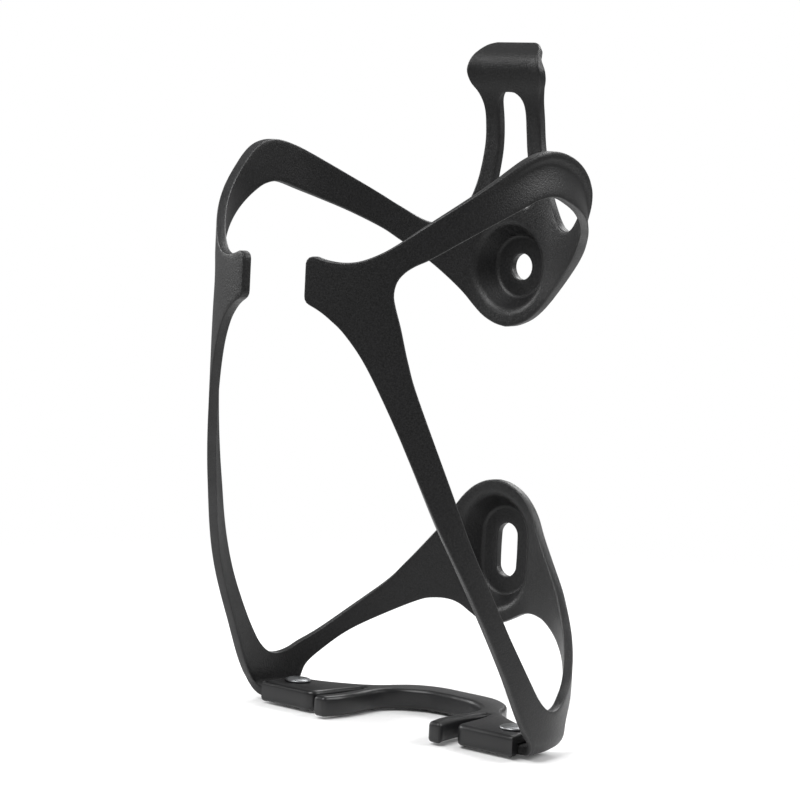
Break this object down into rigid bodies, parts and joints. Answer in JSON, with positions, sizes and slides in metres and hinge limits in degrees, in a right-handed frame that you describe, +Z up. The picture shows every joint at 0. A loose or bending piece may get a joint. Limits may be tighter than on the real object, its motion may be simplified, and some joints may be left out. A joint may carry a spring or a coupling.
{
  "type": "bicycle water bottle cage",
  "caption": "Black sheet-aluminium bicycle bottle cage with open side loops, a slotted top lever and a plastic bottle rest riveted to its foot.",
  "frame": {"origin": "centre of the upper bolt hole, on the plane where the cage meets the bicycle frame", "axes": "+Z up along the bottle, +Y towards the bicycle frame, -Y towards the bottle, +X to the right seen from the front"},
  "size_m": [0.0826, 0.082, 0.1502],
  "materials": {
    "black_coat": "fine-grained satin black powder coat on aluminium sheet",
    "black_plastic": "smooth black moulded plastic, soft gloss",
    "rivet_metal": "bright bare rivet metal"
  },
  "bodies": {
    "root": {"cage_frame": "black_coat", "bottle_rest": "black_plastic", "rivet_left": "rivet_metal", "rivet_right": "rivet_metal"}
  },
  "joints": []
}
